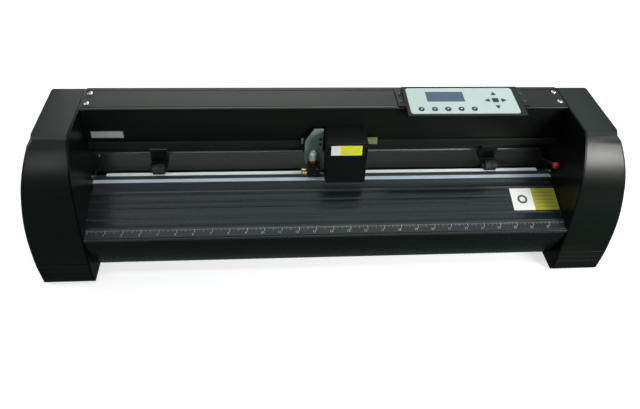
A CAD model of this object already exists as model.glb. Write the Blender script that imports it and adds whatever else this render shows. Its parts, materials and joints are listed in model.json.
import json
import math
import random

import bmesh
import bpy
from mathutils import Matrix, Vector

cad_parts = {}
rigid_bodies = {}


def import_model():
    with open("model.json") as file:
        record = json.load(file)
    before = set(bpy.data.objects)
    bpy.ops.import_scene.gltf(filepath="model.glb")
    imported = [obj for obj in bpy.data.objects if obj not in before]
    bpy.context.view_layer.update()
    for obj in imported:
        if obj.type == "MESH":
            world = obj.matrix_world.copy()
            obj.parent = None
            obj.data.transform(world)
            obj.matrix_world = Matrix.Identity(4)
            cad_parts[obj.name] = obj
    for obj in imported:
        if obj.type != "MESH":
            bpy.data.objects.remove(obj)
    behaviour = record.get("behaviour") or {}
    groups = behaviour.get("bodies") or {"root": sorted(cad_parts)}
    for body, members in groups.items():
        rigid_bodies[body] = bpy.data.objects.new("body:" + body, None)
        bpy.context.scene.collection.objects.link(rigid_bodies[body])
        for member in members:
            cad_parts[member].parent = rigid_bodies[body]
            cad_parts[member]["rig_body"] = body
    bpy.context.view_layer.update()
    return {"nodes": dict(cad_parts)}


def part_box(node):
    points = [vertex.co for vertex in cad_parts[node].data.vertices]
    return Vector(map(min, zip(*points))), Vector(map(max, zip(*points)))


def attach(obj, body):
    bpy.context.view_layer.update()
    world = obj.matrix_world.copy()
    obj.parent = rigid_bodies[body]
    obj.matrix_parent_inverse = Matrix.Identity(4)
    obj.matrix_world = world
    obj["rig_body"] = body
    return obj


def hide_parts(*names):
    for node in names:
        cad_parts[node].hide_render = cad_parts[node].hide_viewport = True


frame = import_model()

NODES = frame["nodes"]
MM = 0.001
WHITE = (1.0, 1.0, 1.0)
ACROSS = Vector((1, 0, 0))
MERGE = 0.002 * MM          # points nearer than this are one
FLAT_ANGLE = math.radians(0.6)   # faces nearer to one plane than this are one
BEVEL_ANGLE = math.radians(32)   # only edges sharper than this are rounded
rng = random.Random(7)


# ---------------------------------------------------------------- materials

def new_material(name):
    mat = bpy.data.materials.new(name)
    mat.use_nodes = True
    tree = mat.node_tree
    shader = tree.nodes["Principled BSDF"]
    return mat, tree, shader


def coordinates(tree, stretch=(1, 1, 1)):
    source = tree.nodes.new("ShaderNodeTexCoord")
    mapping = tree.nodes.new("ShaderNodeMapping")
    mapping.inputs["Scale"].default_value = stretch
    tree.links.new(source.outputs["Object"], mapping.inputs["Vector"])
    return mapping.outputs["Vector"]


def noise(tree, vector, scale, detail=4, rough=0.55):
    node = tree.nodes.new("ShaderNodeTexNoise")
    node.inputs["Scale"].default_value = scale
    node.inputs["Detail"].default_value = detail
    node.inputs["Roughness"].default_value = rough
    tree.links.new(vector, node.inputs["Vector"])
    return node.outputs["Fac"]


def span(tree, value, low, high, out_low, out_high):
    node = tree.nodes.new("ShaderNodeMapRange")
    node.inputs["From Min"].default_value = low
    node.inputs["From Max"].default_value = high
    node.inputs["To Min"].default_value = out_low
    node.inputs["To Max"].default_value = out_high
    tree.links.new(value, node.inputs["Value"])
    return node.outputs["Result"]


def mixed(tree, factor, first, second):
    node = tree.nodes.new("ShaderNodeMix")
    node.data_type = "RGBA"
    tree.links.new(factor, node.inputs["Factor"])
    for socket, colour in ((node.inputs["A"], first), (node.inputs["B"], second)):
        if hasattr(colour, "is_linked"):
            tree.links.new(colour, socket)
            continue
        socket.default_value = (*colour, 1)
    return node.outputs["Result"]


def bump(tree, height, strength):
    node = tree.nodes.new("ShaderNodeBump")
    node.inputs["Strength"].default_value = strength
    node.inputs["Distance"].default_value = 0.2 * MM
    tree.links.new(height, node.inputs["Height"])
    return node.outputs["Normal"]


def surface(name, colour, rough=0.45, metal=0.0, spec=0.5, coat=0.0, coat_rough=0.1, grain=900,
            grain_bump=0.15, mottle=14, variation=0.16, rough_span=0.08, stretch=(1, 1, 1), wear=0.25,
            wear_colour=None):
    """Moulded, painted or metal surface: slow colour drift, fine grain, uneven gloss and worn edges."""
    mat, tree, shader = new_material(name)
    flat = coordinates(tree)
    fine = coordinates(tree, stretch)
    drift = noise(tree, flat, mottle, 5)
    dark = [c * (1 - variation) for c in colour]
    light = [min(1, c * (1 + variation)) for c in colour]
    base = mixed(tree, span(tree, drift, 0.3, 0.7, 0, 1), dark, light)
    edges = tree.nodes.new("ShaderNodeNewGeometry").outputs["Pointiness"]
    worn = span(tree, edges, 0.52, 0.60, 0, wear)
    base = mixed(tree, worn, base, wear_colour or [min(1, c * 1.9 + 0.015) for c in colour])
    tree.links.new(base, shader.inputs["Base Color"])
    speck = noise(tree, fine, grain, 3)
    tree.links.new(span(tree, speck, 0.25, 0.75, rough - rough_span, rough + rough_span),
                   shader.inputs["Roughness"])
    tree.links.new(bump(tree, speck, grain_bump), shader.inputs["Normal"])
    shader.inputs["Metallic"].default_value = metal
    shader.inputs["Specular IOR Level"].default_value = spec
    shader.inputs["Coat Weight"].default_value = coat
    shader.inputs["Coat Roughness"].default_value = coat_rough
    return mat


def make_materials():
    brushed = (1, 60, 60)
    knurl = (260, 900, 900)
    return {
        "cap": surface("cap_plastic", (0.0024, 0.0050, 0.0036), 0.34, spec=0.42, grain=1500,
                       grain_bump=0.16),
        "side": surface("side_enamel", (0.0012, 0.0022, 0.0016), 0.32, spec=0.13, grain=160,
                        grain_bump=0.03, rough_span=0.04),
        "beam": surface("beam_coat", (0.0022, 0.0044, 0.0032), 0.36, spec=0.34, grain=1300,
                        grain_bump=0.10, rough_span=0.05),
        "rail": surface("rail_steel", (0.016, 0.019, 0.017), 0.30, metal=0.4, stretch=brushed, grain=500,
                        grain_bump=0.06),
        "bar": surface("bar_steel", (0.006, 0.008, 0.007), 0.36, metal=0.1, spec=0.3, stretch=brushed,
                       grain=500),
        "platen": surface("platen_anodised", (0.0070, 0.0110, 0.0150), 0.25, metal=0.15, spec=0.42,
                          stretch=(1, 40, 40), grain=420, grain_bump=0.03, wear=0.5,
                          wear_colour=(0.10, 0.115, 0.12)),
        "bed": surface("bed_coat", (0.0026, 0.0040, 0.0032), 0.36, spec=0.13, stretch=(1, 40, 40),
                       grain=420, grain_bump=0.08),
        "apron": surface("apron_coat", (0.0022, 0.0040, 0.0030), 0.28, spec=0.40, grain=900,
                         grain_bump=0.06),
        "tray": surface("tray_coat", (0.004, 0.006, 0.005), 0.38, spec=0.3, grain=900),
        "strip": surface("strip_pad", (0.62, 0.74, 0.88), 0.45, spec=0.3, stretch=brushed, grain=300,
                         grain_bump=0.03, variation=0.06, wear=0.0),
        "ruler": surface("ruler_anodised", (0.020, 0.024, 0.024), 0.34, metal=0.3, stretch=brushed,
                         grain=400),
        "mark": surface("ruler_paint", (0.42, 0.46, 0.45), 0.5, variation=0.1, wear=0.0),
        "rubber": surface("rubber", (0.012, 0.012, 0.012), 0.75, spec=0.3, grain=1400, grain_bump=0.4),
        "steel": surface("turned_steel", (0.55, 0.57, 0.56), 0.28, metal=1.0, stretch=brushed,
                         grain=300),
        "grit": surface("grit_steel", (0.95, 0.98, 0.96), 0.50, metal=0.05, spec=0.6, stretch=knurl,
                        grain=3, grain_bump=0.5, variation=0.05, wear=0.0),
        "journal": surface("journal_steel", (0.10, 0.115, 0.11), 0.35, metal=1.0, stretch=brushed,
                           grain=300),
        "zinc": surface("zinc_plate", (0.74, 0.76, 0.75), 0.25, metal=1.0, grain=700, wear=0.0),
        "motor": surface("motor_coat", (0.015, 0.015, 0.017), 0.45),
        "bracket": surface("bracket_zinc", (0.38, 0.39, 0.38), 0.36, metal=1.0, stretch=brushed,
                           grain=300),
        "housing": surface("panel_plastic", (0.0028, 0.0044, 0.0036), 0.34, spec=0.36, grain=1500),
        "fascia": surface("fascia_film", (0.54, 0.65, 0.64), 0.50, spec=0.25, grain=2200,
                          grain_bump=0.08, variation=0.03, wear=0.0),
        "glass": surface("display_window", (0.060, 0.075, 0.115), 0.30, spec=0.3, grain=60,
                         grain_bump=0.0, variation=0.05, wear=0.0),
        "screen": surface("display_cell", (0.085, 0.128, 0.205), 0.40, spec=0.25, grain=600,
                          grain_bump=0.02, variation=0.05, wear=0.0),
        "key": surface("key_dark", (0.016, 0.018, 0.028), 0.40, grain=1800, wear=0.1),
        "key_pale": surface("key_pale", (0.50, 0.56, 0.57), 0.40, grain=1800, wear=0.0),
        "board": surface("solder_mask", (0.01, 0.09, 0.04), 0.35),
        "psu": surface("galvanised", (0.45, 0.46, 0.46), 0.42, metal=1.0, mottle=60, variation=0.3),
        "socket": surface("socket_plastic", (0.012, 0.012, 0.012), 0.35),
        "foil": surface("label_foil", (0.50, 0.52, 0.50), 0.42, metal=0.15, spec=0.5, stretch=brushed,
                        grain=260, variation=0.08, wear=0.0),
        "paper": surface("notice_white", (0.92, 0.93, 0.90), 0.45, variation=0.02, wear=0.0,
                         grain_bump=0.03),
        "yellow": surface("notice_yellow", (0.44, 0.40, 0.022), 0.45, variation=0.05, wear=0.0,
                          grain_bump=0.03),
        "bright_yellow": surface("notice_bright", (0.95, 0.97, 0.035), 0.4, variation=0.04, wear=0.0,
                                 grain_bump=0.03),
        "ink": surface("notice_ink", (0.10, 0.10, 0.08), 0.5, variation=0.05, wear=0.0),
        "frame": surface("frame_coat", (0.004, 0.005, 0.005), 0.35, spec=0.3),
        "olive": surface("felt_olive", (0.20, 0.225, 0.115), 0.85, spec=0.15, grain=2600, grain_bump=0.9,
                         variation=0.25, wear=0.0),
        "cover": surface("cover_plastic", (0.0030, 0.0046, 0.0038), 0.46, spec=0.20, grain=1500,
                         grain_bump=0.12),
        "stop": surface("stop_nylon", (0.14, 0.145, 0.14), 0.5, variation=0.08),
        "coil": surface("coil_tape", (0.03, 0.03, 0.03), 0.5),
        "grey": surface("slide_enamel", (0.165, 0.225, 0.215), 0.42, spec=0.4, grain=1200,
                        variation=0.10, wear=0.3),
        "clamp": surface("clamp_anodised", (0.014, 0.012, 0.018), 0.36, metal=0.4),
        "silver": surface("holder_aluminium", (0.78, 0.79, 0.77), 0.42, metal=0.55, spec=0.6,
                          stretch=(40, 40, 1), grain=200),
        "brass": surface("brass_turned", (0.72, 0.55, 0.28), 0.24, metal=1.0, grain=900, variation=0.12,
                         wear=0.2, wear_colour=(0.9, 0.78, 0.5)),
        "blade": surface("blade_carbide", (0.5, 0.5, 0.5), 0.2, metal=1.0),
        "pulley": surface("pulley_aluminium", (0.6, 0.61, 0.6), 0.3, metal=1.0),
        "pinch": surface("pinch_coat", (0.004, 0.005, 0.005), 0.38, spec=0.35),
        "pinch_rubber": surface("pinch_rubber", (0.020, 0.021, 0.021), 0.62, spec=0.35, grain=1800,
                                grain_bump=0.3),
        "red": surface("knob_red", (0.60, 0.020, 0.028), 0.22, spec=0.5, coat=0.5, grain=200,
                       grain_bump=0.02),
        "belt": surface("belt_rubber", (0.01, 0.01, 0.01), 0.7),
    }


MAT = make_materials()


# ------------------------------------------------------------- mesh helpers

def finish_piece(name, bm, mat, body, replaces=(), smooth=40, bevel=0.0, segments=2, extra=()):
    """Turn a bmesh into a piece of the model that rides on a body."""
    mesh = bpy.data.meshes.new(name)
    bmesh.ops.recalc_face_normals(bm, faces=bm.faces)
    bm.to_mesh(mesh)
    bm.free()
    piece = bpy.data.objects.new(name, mesh)
    bpy.context.scene.collection.objects.link(piece)
    for item in (mat, *extra):
        mesh.materials.append(MAT[item])
    for polygon in mesh.polygons:
        polygon.use_smooth = True
    mesh.set_sharp_from_angle(angle=math.radians(smooth))
    if bevel:
        rounder = piece.modifiers.new("Rounded", "BEVEL")
        rounder.width = bevel
        rounder.segments = segments
        rounder.limit_method = "ANGLE"
        rounder.angle_limit = BEVEL_ANGLE
        rounder.harden_normals = True
    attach(piece, body)
    if replaces:
        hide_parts(*replaces)
    return piece


def add_box(bm, low, high, index=0):
    corners = [Vector((x, y, z)) for x in (low[0], high[0]) for y in (low[1], high[1])
               for z in (low[2], high[2])]
    verts = [bm.verts.new(corner) for corner in corners]
    for loop in ((0, 1, 3, 2), (4, 6, 7, 5), (0, 4, 5, 1), (2, 3, 7, 6), (0, 2, 6, 4), (1, 5, 7, 3)):
        face = bm.faces.new([verts[i] for i in loop])
        face.material_index = index
    return verts


def add_turned(bm, place, profile, steps=48, index=0, knurl=0.0, knurl_rows=()):
    """Revolve (along, radius) pairs about the place's Z axis; knurled rows get a toothed radius."""
    rings = []
    for row, (along, radius) in enumerate(profile):
        ring = []
        for step in range(steps):
            angle = 2 * math.pi * step / steps
            reach = radius
            if row in knurl_rows and step % 2:
                reach -= knurl
            point = Vector((reach * math.cos(angle), reach * math.sin(angle), along))
            ring.append(bm.verts.new(place @ point))
        rings.append(ring)
    for first, second in zip(rings, rings[1:]):
        for step in range(steps):
            after = (step + 1) % steps
            face = bm.faces.new((first[step], first[after], second[after], second[step]))
            face.material_index = index
    for ring in (rings[0], rings[-1]):
        bm.faces.new(ring).material_index = index
    return rings


def along_axis(axis, centre):
    """Frame whose Z runs along X, Y or Z through a point."""
    turn = {"X": Matrix.Rotation(math.pi / 2, 4, "Y"), "Y": Matrix.Rotation(-math.pi / 2, 4, "X"),
            "Z": Matrix.Identity(4)}[axis]
    return Matrix.Translation(centre) @ turn


def box_centre(node):
    low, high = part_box(node)
    return (low + high) / 2


def islands(mesh):
    """Boxes of the separate solids in a node, from left to right."""
    bm = bmesh.new()
    bm.from_mesh(mesh)
    bmesh.ops.remove_doubles(bm, verts=bm.verts, dist=1e-6)
    seen = set()
    found = []
    for start in bm.verts:
        if start in seen:
            continue
        stack = [start]
        points = []
        seen.add(start)
        while stack:
            vert = stack.pop()
            points.append(vert.co.copy())
            for edge in vert.link_edges:
                other = edge.other_vert(vert)
                if other not in seen:
                    seen.add(other)
                    stack.append(other)
        low = Vector([min(p[i] for p in points) for i in range(3)])
        high = Vector([max(p[i] for p in points) for i in range(3)])
        found.append((low, high))
    bm.free()
    return sorted(found, key=lambda pair: tuple(round(value, 4) for value in pair[0]))


def merge_flat(bm):
    """Join the CAD mesh's triangles into the flat faces that they came from."""
    bmesh.ops.remove_doubles(bm, verts=bm.verts, dist=MERGE)
    bmesh.ops.dissolve_limit(bm, angle_limit=FLAT_ANGLE, verts=bm.verts, edges=bm.edges)


def refine(node, mat, bevel=0.0, segments=2, smooth=32):
    """The node's own shape with its edges rounded as the real piece's are."""
    bm = bmesh.new()
    bm.from_mesh(NODES[node].data)
    merge_flat(bm)
    for face in bm.faces:
        face.material_index = 0
    return finish_piece(node + "_skin", bm, mat, NODES[node]["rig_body"], [node], smooth, bevel, segments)


def dress(node, mat):
    """Keep the CAD shape and give it a finished material."""
    mesh = NODES[node].data
    mesh.materials.clear()
    mesh.materials.append(MAT[mat])


# ------------------------------------------------------------------- pieces

def shells():
    """CAD shapes with rounded edges, and the hidden parts as they are, in their finishes."""
    for side in ("left", "right"):
        refine(side + "_end_cap", "cap", 1.0 * MM, 3)
        refine(side + "_side_plate", "side", 0.5 * MM)
    refine("top_beam", "beam", 0.35 * MM)
    refine("carriage_rail", "rail", 0.5 * MM)
    refine("pinch_guide_bar", "bar", 0.6 * MM)
    refine("front_platen", "platen", 0.25 * MM)
    refine("rear_platen", "bed", 0.4 * MM)
    refine("cutting_strip", "strip", 0.2 * MM)
    refine("ruler_strip", "ruler", 0.12 * MM)
    refine("front_apron", "apron", 0.3 * MM)
    refine("base_tray", "tray", 0.3 * MM)
    refine("control_panel_housing", "housing", 0.8 * MM, 3)
    refine("panel_fascia", "fascia", 0.25 * MM)
    refine("carriage_cover", "cover", 1.4 * MM, 3)
    refine("carriage_frame", "frame", 0.4 * MM)
    refine("tool_slide", "grey", 0.6 * MM)
    refine("tool_clamp", "clamp", 0.6 * MM)
    for side in ("left", "right"):
        refine("pinch_holder_" + side, "pinch", 0.6 * MM)
        refine("pinch_arm_" + side, "pinch", 0.4 * MM)
    refine("lift_lever", "pinch", 0.6 * MM)
    refine("power_inlet", "socket", 0.4 * MM)
    refine("power_rocker", "socket", 0.5 * MM)
    refine("data_port", "socket", 0.3 * MM)
    kept = (("rubber_feet", "rubber"), ("grit_bearings", "steel"), ("feed_motor", "motor"),
            ("carriage_motor", "motor"), ("pulley_brackets", "bracket"), ("carriage_belt", "belt"),
            ("circuit_boards", "board"), ("power_supply", "psu"), ("tool_lift_coil", "coil"),
            ("blade", "blade"), ("drive_pulley", "pulley"), ("idler_pulley", "pulley"),
            ("lift_shaft", "steel"))
    for node, mat in kept:
        dress(node, mat)


def platen_lands():
    """Slightly crowned lands between the grooves of the platen's slope."""
    bm = bmesh.new()
    bm.from_mesh(NODES["front_platen"].data)
    merge_flat(bm)
    narrowest = 5 * MM
    lands = []
    for face in bm.faces:
        ys = [vert.co.y for vert in face.verts]
        sloped = face.normal.z > 0.9 and face.normal.y < -0.25
        if sloped and max(ys) - min(ys) > narrowest:
            ends = sorted(face.verts, key=lambda vert: vert.co.y)
            lands.append((ends[0].co.copy(), ends[-1].co.copy(), face.normal.copy()))
    bm.free()
    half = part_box("front_platen")[1].x - 0.2 * MM
    crown = 0.22 * MM
    lift = 0.01 * MM
    edge = 0.04
    steps = 12
    out = bmesh.new()
    for front, back, normal in lands:
        rows = []
        for step in range(steps + 1):
            share = edge + (1 - 2 * edge) * step / steps
            rise = crown * math.sin(math.pi * step / steps) + lift
            point = front.lerp(back, share) + normal * rise
            rows.append([out.verts.new((x, point.y, point.z)) for x in (-half, half)])
        for first, second in zip(rows, rows[1:]):
            out.faces.new((first[0], first[1], second[1], second[0]))
    finish_piece("platen_lands", out, "platen", "chassis", smooth=60)


def grit_roller():
    """Bright gritted barrel between darker journals, on its drive coupling."""
    low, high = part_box("grit_roller")
    centre = box_centre("grit_bearings")
    barrel = 7.4 * MM
    half = 340 * MM
    journal = 5 * MM
    coupling = 8 * MM
    coupling_start = high.x - 14 * MM
    chamfer = 0.5 * MM
    end_chamfer = 0.4 * MM
    margin = 1 * MM
    bands = 40
    bm = bmesh.new()
    place = along_axis("X", Vector((0, centre.y, centre.z)))
    stub = [(low.x, journal - end_chamfer), (low.x + end_chamfer, journal), (-half, journal)]
    add_turned(bm, place, stub, 64, 1)
    rows = [(-half, barrel - chamfer), (-half + chamfer, barrel)]
    for band in range(bands):
        rows.append((-half + margin + band * (2 * half - 2 * margin) / bands, barrel))
    rows += [(half - chamfer, barrel), (half, barrel - chamfer)]
    add_turned(bm, place, rows, 96, 0)
    add_turned(bm, place, [(half, journal), (coupling_start, journal)], 64, 1)
    add_turned(bm, place, [(coupling_start, coupling), (high.x, coupling)], 64, 1)
    finish_piece("grit_barrel", bm, "grit", "grit_roller", ["grit_roller"], 30,
                 extra=("journal",))


def screw_heads():
    """Pan heads with cross recesses, standing where the CAD screws stand."""
    bm = bmesh.new()
    for low, high in islands(NODES["pan_head_screws"].data):
        centre = (low + high) / 2
        radius = (high.x - low.x) / 2
        large = radius > 3 * MM
        top = high.z
        base = top - (2.2 * MM if large else 1.6 * MM)
        tall = top - base
        place = along_axis("Z", Vector((centre.x, centre.y, base)))
        dome = [(0, radius * 0.97), (tall * 0.3, radius), (tall * 0.62, radius * 0.93),
                (tall * 0.86, radius * 0.74), (tall * 0.96, radius * 0.5), (tall, radius * 0.36)]
        add_turned(bm, place, dome, 40, 0 if large else 2)
        turn = rng.uniform(0, math.pi)
        arm = (radius * 0.52, radius * 0.11, 0.3 * MM)
        recess = Matrix.Translation((centre.x, centre.y, top - 0.25 * MM))
        for quarter in (0, math.pi / 2):
            spin = recess @ Matrix.Rotation(turn + quarter, 4, "Z")
            verts = add_box(bm, [-a for a in arm], arm, 1)
            for vert in verts:
                vert.co = spin @ vert.co
    finish_piece("screw_heads", bm, "zinc", "chassis", ["pan_head_screws"], 35,
                 extra=("socket", "journal"))


def ruler_marks():
    """Inch graduations and their numbers, painted on the ruler strip."""
    low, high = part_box("ruler_strip")
    front = Vector((0, low.y, low.z + 0.6 * MM))
    back = Vector((0, high.y, high.z))
    up_slope = (back - front).normalized()
    normal = ACROSS.cross(up_slope)
    wide = (back - front).length
    lift = 0.06 * MM
    start = low.x + 3.1 * MM
    inch = 25.4 * MM
    bm = bmesh.new()

    def mark(x, reach, thick):
        base = front + up_slope * (wide * 0.97) + normal * lift
        corners = [(x - thick, 0), (x + thick, 0), (x + thick, -reach), (x - thick, -reach)]
        verts = [bm.verts.new(base + Vector((a, 0, 0)) + up_slope * b) for a, b in corners]
        bm.faces.new(verts)

    # One mark in so many sixteenths, with its length and half its width in millimetres.
    sizes = ((16, 6.2, 0.34), (8, 4.6, 0.22), (4, 3.4, 0.18), (1, 2.2, 0.14))
    sixteenth = inch / 16
    count = int((high.x - start) / sixteenth)
    for step in range(count + 1):
        reach, thick = next(size for every, *size in sizes if step % every == 0)
        mark(start + step * sixteenth, reach * MM, thick * MM)
    finish_piece("ruler_graduations", bm, "mark", "chassis")
    numbers = bmesh.new()
    for inches in range(1, int((high.x - start) / inch) + 1):
        curve = bpy.data.curves.new("number", "FONT")
        curve.body = str(inches)
        curve.size = 5.4 * MM
        curve.align_x = "RIGHT"
        curve.extrude = 0.02 * MM
        shape = bpy.data.objects.new("number", curve)
        mesh = bpy.data.meshes.new_from_object(shape)
        place = Matrix((
            (1, 0, 0, start + inches * inch - 0.9 * MM),
            (0, up_slope.y, normal.y, 0),
            (0, up_slope.z, normal.z, 0),
            (0, 0, 0, 1)))
        base = front + up_slope * (wide * 0.16) + normal * (lift + 0.02 * MM)
        place.translation += Vector((0, base.y, base.z))
        mesh.transform(place)
        numbers.from_mesh(mesh)
        bpy.data.objects.remove(shape)
        bpy.data.meshes.remove(mesh)
        bpy.data.curves.remove(curve)
    finish_piece("ruler_numbers", numbers, "mark", "chassis")


def slope_frame(low, high):
    """Origin, up-slope direction and normal of a thin sheet that lies on the platen's slope."""
    front = Vector((0, low.y, low.z + 0.27 * MM))
    back = Vector((0, high.y, high.z))
    up_slope = (back - front).normalized()
    return front, up_slope, ACROSS.cross(up_slope), (back - front).length


def add_patch(bm, origin, across, up, low, high, lift, thick, index):
    """Thin rounded-edge tile in the plane of two directions."""
    normal = across.cross(up).normalized()
    verts = add_box(bm, (low[0], low[1], lift), (high[0], high[1], lift + thick), index)
    turn = Matrix((across, up, normal)).transposed()
    for vert in verts:
        vert.co = origin + turn @ vert.co


def notices():
    """Blank silver plate on the beam and the blank two-tone notice on the platen."""
    solids = islands(NODES["labels"].data)
    plate_low, plate_high = min(solids, key=lambda pair: pair[0].x)
    note_low, note_high = max(solids, key=lambda pair: pair[0].x)
    bm = bmesh.new()
    add_box(bm, plate_low, plate_high, 0)
    inner = 0.9 * MM
    add_box(bm, (plate_low.x + inner, plate_low.y - 0.04 * MM, plate_low.z + inner),
            (plate_high.x - inner, plate_low.y, plate_high.z - inner), 1)
    finish_piece("maker_plate", bm, "zinc", "chassis", ["labels"], extra=("foil",))
    front, up_slope, normal, reach = slope_frame(note_low, note_high)
    across = ACROSS
    wide = note_high.x - note_low.x
    origin = front + Vector((note_low.x, 0, 0))
    bm = bmesh.new()
    thick = 0.2 * MM
    split = wide * 0.47
    add_patch(bm, origin, across, up_slope, (0, 0), (split, reach), -thick, thick, 0)
    add_patch(bm, origin, across, up_slope, (split, 0), (wide, reach), -thick, thick, 1)
    bars = 5
    for bar in range(bars):
        start = reach * (0.14 + 0.16 * bar)
        add_patch(bm, origin, across, up_slope, (split + wide * 0.05, start),
                  (wide * 0.95, start + reach * 0.035), 0, 0.03 * MM, 2)
    finish_piece("platen_notice", bm, "paper", "chassis", extra=("yellow", "olive"))
    disc = bmesh.new()
    centre = origin + across * (split * 0.5) + up_slope * (reach * 0.5)
    place = Matrix.Translation(centre) @ Matrix((across, up_slope, normal)).transposed().to_4x4()
    add_turned(disc, place, [(0, reach * 0.20), (0.03 * MM, reach * 0.20)], 40)
    finish_piece("notice_disc", disc, "ink", "chassis")
    ring = bmesh.new()
    add_turned(ring, place, [(0.03 * MM, reach * 0.11), (0.05 * MM, reach * 0.11)], 40)
    finish_piece("notice_disc_centre", ring, "paper", "chassis")


def panel_frame():
    """Origin at the fascia's front edge, and its up-slope and normal directions."""
    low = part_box("panel_fascia")[0]
    thick = 1.2 * MM
    tilt = math.radians(5.5)
    up_slope = Vector((0, math.cos(tilt), math.sin(tilt)))
    normal = Vector((0, -math.sin(tilt), math.cos(tilt)))
    return Vector((0, low.y, low.z + thick * math.cos(tilt))), up_slope, normal


def display():
    """Display window with the lit cell framed inside it."""
    low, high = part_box("lcd_window")
    centre = (low + high) / 2
    front, up_slope, normal = panel_frame()
    top = front + normal * (-0.3 * MM)
    reach = (high.y - low.y) / up_slope.y - 0.25 * MM
    wide = high.x - low.x
    along = (centre - top).dot(up_slope)
    origin = top + up_slope * along + ACROSS * centre.x
    deep = 2.2 * MM
    bm = bmesh.new()
    add_patch(bm, origin, ACROSS, up_slope, (-wide / 2, -reach / 2), (wide / 2, reach / 2), -deep, deep, 0)
    add_patch(bm, origin, ACROSS, up_slope, (-wide * 0.485, -reach * 0.465), (wide * 0.485, reach * 0.465),
              0, 0.05 * MM, 1)
    finish_piece("display_glass", bm, "glass", "chassis", ["lcd_window"],
                 extra=("screen",))


def keys():
    """Domed round keys with pale centres, and the pad's arrowheads."""
    front, up_slope, normal = panel_frame()
    turn = Matrix((ACROSS, up_slope, normal)).transposed().to_4x4()
    for node in sorted(NODES):
        if not node.startswith("key_"):
            continue
        if not node.startswith("key_round"):
            refine(node, "key", 0.3 * MM)
            continue
        low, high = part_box(node)
        centre = (low + high) / 2
        height = (front - centre).dot(normal)
        radius = (high.x - low.x) / 2
        base = centre + normal * (height + 0.8 * MM)
        place = Matrix.Translation(base) @ turn
        bm = bmesh.new()
        add_turned(bm, place, [(-2.6 * MM, radius), (-0.25 * MM, radius), (-0.05 * MM, radius * 0.95),
                               (0, radius * 0.86), (0, radius * 0.62), (-0.1 * MM, radius * 0.58)], 48, 0)
        tilt = place @ Matrix.Rotation(math.radians(40), 4, "Z") @ Matrix.Scale(0.62, 4, (0, 1, 0))
        add_turned(bm, tilt, [(-0.3 * MM, radius * 0.50), (-0.02 * MM, radius * 0.46)], 40, 1)
        add_turned(bm, place, [(-0.4 * MM, radius * 0.6), (-0.14 * MM, radius * 0.6)], 40, 0)
        finish_piece(node + "_cap", bm, "key", node, [node], 50, extra=("key_pale",))


def blade_tool():
    """Blade holder: black body, knurled brass collar, bright adjusting cap and stem."""
    centre = box_centre("blade_holder")
    place = along_axis("Z", Vector((centre.x, centre.y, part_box("blade_holder")[1].z)))

    def turned(rows, steps, index, *knurl):
        """Rows are the drop below the top of the holder and the radius, in millimetres."""
        add_turned(bm, place, [(-drop * MM, radius * MM) for drop, radius in rows], steps, index, *knurl)

    bm = bmesh.new()
    turned([(49.2, 2.6), (46, 5), (18.9, 5)], 48, 0)
    turned([(18.9, 5.6), (18.5, 6), (18, 6), (15.2, 6), (14.8, 6), (14.4, 5.6)], 72, 1, 0.35 * MM, (2, 3))
    turned([(14.4, 5), (14, 5.4), (13.4, 5.4), (6.9, 5.4), (5.6, 5.3), (4.6, 4.8), (3.9, 4),
            (3.8, 2.2), (0.6, 2.2), (0, 1.6)], 72, 2, 0.22 * MM, (2, 3))
    finish_piece("blade_holder_turned", bm, "clamp", "tool", ["blade_holder"], 35,
                 extra=("brass", "silver"))
    low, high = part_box("clamp_knob")
    centre = (low + high) / 2
    place = along_axis("X", Vector((0, centre.y, centre.z)))
    bm = bmesh.new()
    rows = [(0, 4.3), (0.5, 5.1), (1.1, 5.45), (8.2, 5.45), (9.0, 5.1), (9.4, 4.2), (9.4, 2), (13, 2)]
    add_turned(bm, place, [(low.x + along * MM, radius * MM) for along, radius in rows], 64, 0,
               0.4 * MM, (2, 3))
    finish_piece("clamp_knob_turned", bm, "brass", "clamp_knob", ["clamp_knob"], 30)


def small_screw(bm, centre, axis, radius, tall, index=0, slot_index=1):
    """Button-head screw with a straight slot, facing along an axis."""
    place = along_axis(axis, centre)
    if axis == "Y":
        place = place @ Matrix.Rotation(math.pi, 4, "X")
    add_turned(bm, place, [(0, radius), (tall * 0.5, radius * 0.96), (tall * 0.85, radius * 0.7),
                           (tall, radius * 0.35)], 28, index)
    half_long, half_wide = radius * 0.7, radius * 0.12
    verts = add_box(bm, (-half_long, -half_wide, tall * 0.8), (half_long, half_wide, tall * 1.02),
                    slot_index)
    spin = place @ Matrix.Rotation(rng.uniform(0, math.pi), 4, "Z")
    for vert in verts:
        vert.co = spin @ vert.co


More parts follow.
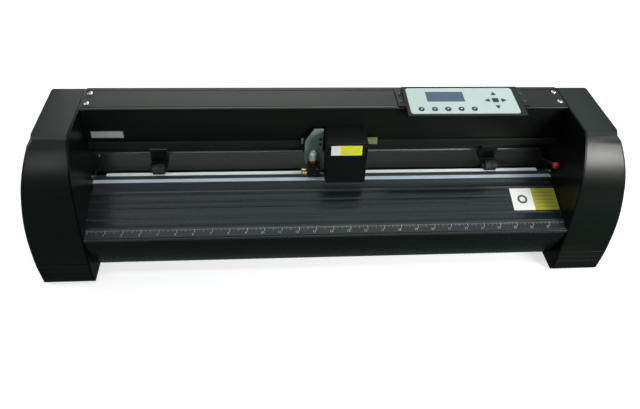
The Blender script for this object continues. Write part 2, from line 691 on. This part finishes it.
def carriage_details():
    """Sticker, corner screws and parting line of the cover, and the clamp's small screws."""
    low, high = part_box("carriage_cover")
    bm = bmesh.new()
    top = high.z - 4.2 * MM
    tall = 17.0 * MM
    left = low.x + 6.2 * MM
    right = high.x - 8.5 * MM
    split = left + (right - left) * 0.3
    front = low.y
    add_box(bm, (left, front - 0.15 * MM, top - tall), (split, front, top), 0)
    add_box(bm, (split, front - 0.15 * MM, top - tall), (right, front, top), 1)
    for row in range(3):
        z = top - tall * (0.3 + 0.22 * row)
        add_box(bm, (split + 2 * MM, front - 0.18 * MM, z - 0.25 * MM),
                (right - 3 * MM, front - 0.15 * MM, z + 0.25 * MM), 2)
    finish_piece("cover_notice", bm, "paper", "carriage",
                 extra=("bright_yellow", "olive"))
    bm = bmesh.new()
    for x in (low.x + 3.2 * MM, high.x - 4.2 * MM):
        small_screw(bm, Vector((x, front, top - 1 * MM)), "Y", 1.9 * MM, 0.9 * MM)
    finish_piece("cover_screws", bm, "socket", "carriage", extra=("frame",))
    slide_low, slide_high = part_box("tool_slide")
    bm = bmesh.new()
    for drop in (18 * MM, 27 * MM):
        spot = Vector((slide_high.x - 4.2 * MM, slide_low.y, slide_high.z - drop))
        small_screw(bm, spot, "Y", 2.3 * MM, 1.0 * MM)
    finish_piece("slide_screws", bm, "socket", "tool", extra=("frame",))
    clamp_low, clamp_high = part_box("tool_clamp")
    bm = bmesh.new()
    clamp_front = clamp_low.y + 3 * MM
    for drop, size in ((5 * MM, 1.6 * MM), (15 * MM, 0.9 * MM)):
        spot = Vector((clamp_low.x + 14.8 * MM - (drop - 5 * MM) * 0.35, clamp_front, clamp_high.z - drop))
        small_screw(bm, spot, "Y", size, 1.0 * MM)
    finish_piece("clamp_screws", bm, "zinc", "tool", extra=("socket",))


def pinch_rollers():
    """Rubber tyres on steel hubs, with the pins' ends showing in the arms' forks."""
    for side in ("left", "right"):
        low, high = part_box("pinch_roller_" + side)
        centre = (low + high) / 2
        radius = (high.z - low.z) / 2
        half = (high.x - low.x) / 2
        place = along_axis("X", centre)
        bm = bmesh.new()
        edge = 0.7 * MM
        groove = 0.25 * MM
        rows = [(-half, radius * 0.62), (-half, radius - edge), (-half + edge, radius),
                (-1.2 * MM, radius), (-0.8 * MM, radius - groove), (0.8 * MM, radius - groove),
                (1.2 * MM, radius), (half - edge, radius), (half, radius - edge), (half, radius * 0.62)]
        add_turned(bm, place, rows, 64, 0)
        for sign in (-1, 1):
            end = sign * half
            add_turned(bm, place, [(end, radius * 0.6), (end - sign * 0.2 * MM, radius * 0.34)], 48, 1)
        finish_piece("pinch_tyre_" + side, bm, "pinch_rubber", "pinch_roller_" + side,
                     ["pinch_roller_" + side], 35, extra=("steel",))
        arm_low, arm_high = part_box("pinch_arm_" + side)
        bm = bmesh.new()
        for sign in (-1, 1):
            x = arm_high.x if sign > 0 else arm_low.x
            end = Vector((x - sign * 0.4 * MM, centre.y, centre.z))
            add_turned(bm, along_axis("X", end), [(0, 2.2 * MM), (sign * 0.35 * MM, 2.0 * MM),
                                                  (sign * 0.4 * MM, 1.4 * MM)], 32)
        finish_piece("pinch_pins_" + side, bm, "steel", "pinch_arm_" + side)


def wiper_blocks():
    """Olive felt wiper on the right of the slide block and a pale end stop on its left."""
    blocks = islands(NODES["slide_seals"].data)
    for (low, high), mat, name in zip(blocks, ("stop", "olive"), ("left", "right")):
        bm = bmesh.new()
        add_box(bm, low, high)
        replaced = ["slide_seals"] if name == "right" else []
        finish_piece("wiper_" + name, bm, mat, "carriage", replaced, 30, 0.6 * MM, 3)


def lever_knob():
    """Red ball at the end of the lift lever."""
    low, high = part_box("lever_knob")
    centre = (low + high) / 2
    radius = (high.z - low.z) / 2
    bm = bmesh.new()
    bmesh.ops.create_uvsphere(bm, u_segments=40, v_segments=24, radius=radius,
                              matrix=Matrix.Translation(centre))
    finish_piece("lever_ball", bm, "red", "lift_lever", ["lever_knob"], 60)


def end_fixings():
    """Small screws on the inner faces of the side plates, at the ends of the strip and beds."""
    bm = bmesh.new()
    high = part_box("cutting_strip")[1]
    rear_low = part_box("rear_platen")[0]
    head = [(0, 2.6 * MM), (0.7 * MM, 2.5 * MM), (1.2 * MM, 1.7 * MM), (1.4 * MM, 0.8 * MM)]
    for sign in (-1, 1):
        x = high.x * sign
        for y, z in ((high.y + 1.5 * MM, high.z + 5 * MM), (rear_low.y + 30 * MM, high.z + 6 * MM)):
            place = Matrix.Translation((x, y, z)) @ Matrix.Rotation(-sign * math.pi / 2, 4, "Y")
            add_turned(bm, place, head, 28)
    finish_piece("end_fixings", bm, "zinc", "chassis")


def lift_springs():
    """Compression spring over each pinch holder."""
    wire = 0.45 * MM
    radius = 2.3 * MM
    tall = 5 * MM
    turns = 6
    steps = 16
    for side in ("left", "right"):
        low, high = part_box("pinch_holder_" + side)
        foot = Vector(((low.x + high.x) / 2, low.y + 9.6 * MM, low.z + 11 * MM))
        curve = bpy.data.curves.new("pinch_spring_" + side, "CURVE")
        curve.dimensions = "3D"
        curve.bevel_depth = wire
        curve.bevel_resolution = 3
        spline = curve.splines.new("POLY")
        spline.points.add(turns * steps)
        for index, point in enumerate(spline.points):
            angle = 2 * math.pi * index / steps
            rise = index / (turns * steps)
            point.co = (foot.x + radius * math.cos(angle), foot.y + radius * 0.8 * math.sin(angle),
                        foot.z + rise * tall, 1)
        spring = bpy.data.objects.new("pinch_spring_" + side, curve)
        bpy.context.scene.collection.objects.link(spring)
        curve.materials.append(MAT["steel"])
        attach(spring, "pinch_holder_" + side)


# ------------------------------------------------------------ room and view

CENTRE = (0, 0, 0.12)
LEFT_CAP = (-0.43, 0, 0.12)
RIGHT_CAP = (0.43, 0, 0.12)
COOL = (0.96, 1.0, 0.98)
# Name, place, target, width, height, watts, colour, and spread in degrees.
LIGHTS = (
    ("back_soft", (0.5, 2.3, 2.1), CENTRE, 4.6, 1.3, 16, (0.90, 1.0, 0.94), 180),
    ("top_soft", (0.0, 0.5, 2.4), CENTRE, 3.4, 0.5, 10.5, (0.92, 0.99, 1.0), 180),
    ("crease_strip", (0.0, -0.57, 1.68), CENTRE, 3.4, 0.25, 10, WHITE, 180),
    ("window_right", (1.25, -1.3, 0.85), (0.43, -0.09, 0.19), 0.8, 0.7, 4.0, (1.0, 1.0, 0.97), 60),
    ("window_left", (-0.98, -1.3, 0.88), (-0.43, -0.09, 0.19), 0.5, 0.6, 0.3, (0.97, 1.0, 0.98), 60),
    ("rear_window", (0.0, 2.4, 0.7), (0, 0.1, 0.12), 2.6, 0.5, 3.6, (0.94, 1.0, 0.96), 60),
    ("side_window_right", (2.4, 0.3, 0.9), RIGHT_CAP, 1.2, 0.5, 1.7, COOL, 50),
    ("side_window_left", (-2.4, 0.3, 0.9), LEFT_CAP, 1.2, 0.5, 1.7, COOL, 50),
)


def area_light(name, place, target, wide, tall, power, colour, spread):
    light = bpy.data.lights.new(name, "AREA")
    light.spread = math.radians(spread)
    light.shape = "RECTANGLE"
    light.size = wide
    light.size_y = tall
    light.energy = power
    light.color = colour
    item = bpy.data.objects.new(name, light)
    bpy.context.scene.collection.objects.link(item)
    item.location = place
    item.rotation_mode = "QUATERNION"
    item.visible_camera = False
    item.rotation_quaternion = (Vector(target) - Vector(place)).to_track_quat("-Z", "Y")


def stage_sheet(name, bm, mat, glow):
    """Floor or backdrop: white to the camera, and kept out of the object's reflections."""
    mesh = bpy.data.meshes.new(name)
    bm.to_mesh(mesh)
    bm.free()
    item = bpy.data.objects.new(name, mesh)
    bpy.context.scene.collection.objects.link(item)
    mesh.materials.append(mat)
    shader = mat.node_tree.nodes["Principled BSDF"]
    shader.inputs["Emission Color"].default_value = (*WHITE, 1)
    shader.inputs["Emission Strength"].default_value = glow
    item.visible_glossy = False
    item.visible_diffuse = False
    item.visible_transmission = False
    return item


def room():
    """White floor and dome, a dim even fill and the studio's soft lights."""
    reach = 9
    bm = bmesh.new()
    corners = [(-reach, -reach, 0), (reach, -reach, 0), (reach, reach, 0), (-reach, reach, 0)]
    bm.faces.new([bm.verts.new(corner) for corner in corners])
    stage_sheet("floor", bm, surface("floor_paper", (0.60, 0.61, 0.61), 0.85, spec=0.1, variation=0.01,
                                     wear=0.0, grain=40, grain_bump=0.0), 0.66)
    bm = bmesh.new()
    bmesh.ops.create_uvsphere(bm, u_segments=96, v_segments=48, radius=reach * 0.99)
    bmesh.ops.reverse_faces(bm, faces=bm.faces)
    backdrop = stage_sheet("backdrop", bm, surface("backdrop_paper", (0.30, 0.30, 0.30), 0.9, spec=0.0,
                                                   variation=0.01, wear=0.0, grain=2, grain_bump=0.0), 0.80)
    backdrop.visible_shadow = False
    world = bpy.data.worlds.new("studio")
    bpy.context.scene.world = world
    world.use_nodes = True
    background = world.node_tree.nodes["Background"]
    background.inputs["Color"].default_value = (0.72, 1.0, 0.84, 1)
    background.inputs["Strength"].default_value = 0.11
    for row in LIGHTS:
        area_light(*row)


def camera():
    """Camera at the view of the reference picture: 41 degrees down, slightly from the left."""
    place = Vector((-0.093, -0.7589, 0.7281))
    pitch, yaw, roll = (math.radians(a) for a in (41.46, 6.29, 3.16))
    ahead = Vector((math.sin(yaw) * math.cos(pitch), math.cos(yaw) * math.cos(pitch), -math.sin(pitch)))
    level = Vector((math.cos(yaw), -math.sin(yaw), 0))
    above = level.cross(ahead)
    right = level * math.cos(roll) + above * math.sin(roll)
    up = above * math.cos(roll) - level * math.sin(roll)
    data = bpy.data.cameras.new("view")
    data.sensor_width = 36
    data.lens = 34.875
    data.clip_start = 0.05
    data.clip_end = 50
    item = bpy.data.objects.new("view", data)
    bpy.context.scene.collection.objects.link(item)
    item.matrix_world = Matrix.Translation(place) @ Matrix((right, up, -ahead)).transposed().to_4x4()
    bpy.context.scene.camera = item
    bpy.context.scene.view_settings.view_transform = "Standard"


camera()
room()
shells()
platen_lands()
grit_roller()
screw_heads()
ruler_marks()
notices()
display()
keys()
blade_tool()
carriage_details()
pinch_rollers()
wiper_blocks()
lever_knob()
end_fixings()
lift_springs()
